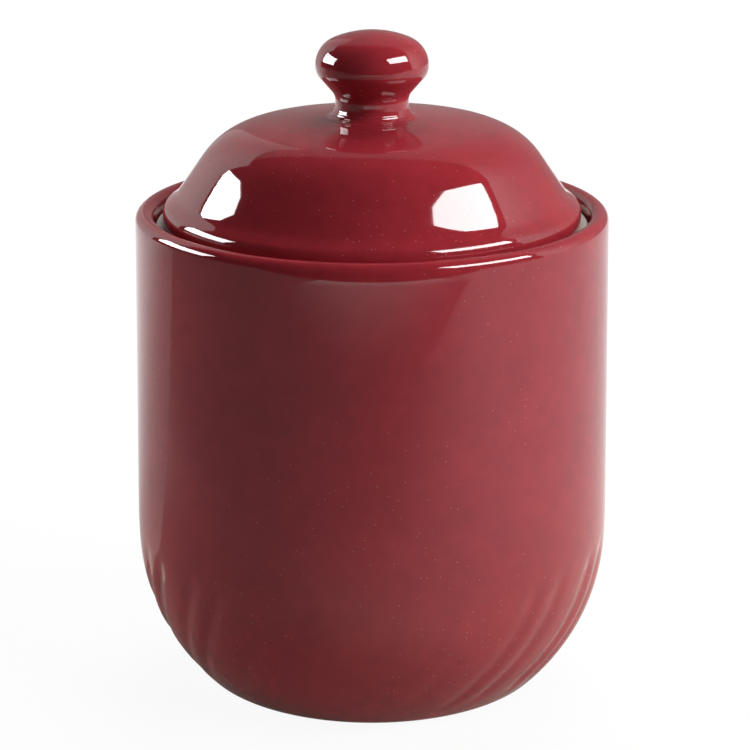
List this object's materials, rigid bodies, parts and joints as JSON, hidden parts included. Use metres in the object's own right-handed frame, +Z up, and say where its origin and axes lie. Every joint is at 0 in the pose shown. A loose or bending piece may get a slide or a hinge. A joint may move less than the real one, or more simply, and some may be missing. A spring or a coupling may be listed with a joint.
{
  "type": "kitchen canister",
  "caption": "Round glazed stoneware kitchen canister with leaning ribs round its bowl, a domed knob lid set inside the rim and a sealing ring.",
  "frame": {"origin": "on the jar's axis, at the face of its foot ring", "axes": "+Z up along the jar's axis, -Y towards the front of the picture, +X to the right"},
  "size_m": [0.1584, 0.1584, 0.2203],
  "materials": {
    "wine_glaze": "glossy wine-red reactive glaze",
    "ring_silicone": "translucent grey-white silicone"
  },
  "bodies": {
    "jar": {"jar": "wine_glaze"},
    "lid": {"lid": "wine_glaze", "seal_ring": "ring_silicone"}
  },
  "joints": [
    {"name": "lid_lift", "type": "slide", "parent": "jar", "child": "lid", "axis": [0, 0, 1], "range_m": [0, 0.06]}
  ]
}
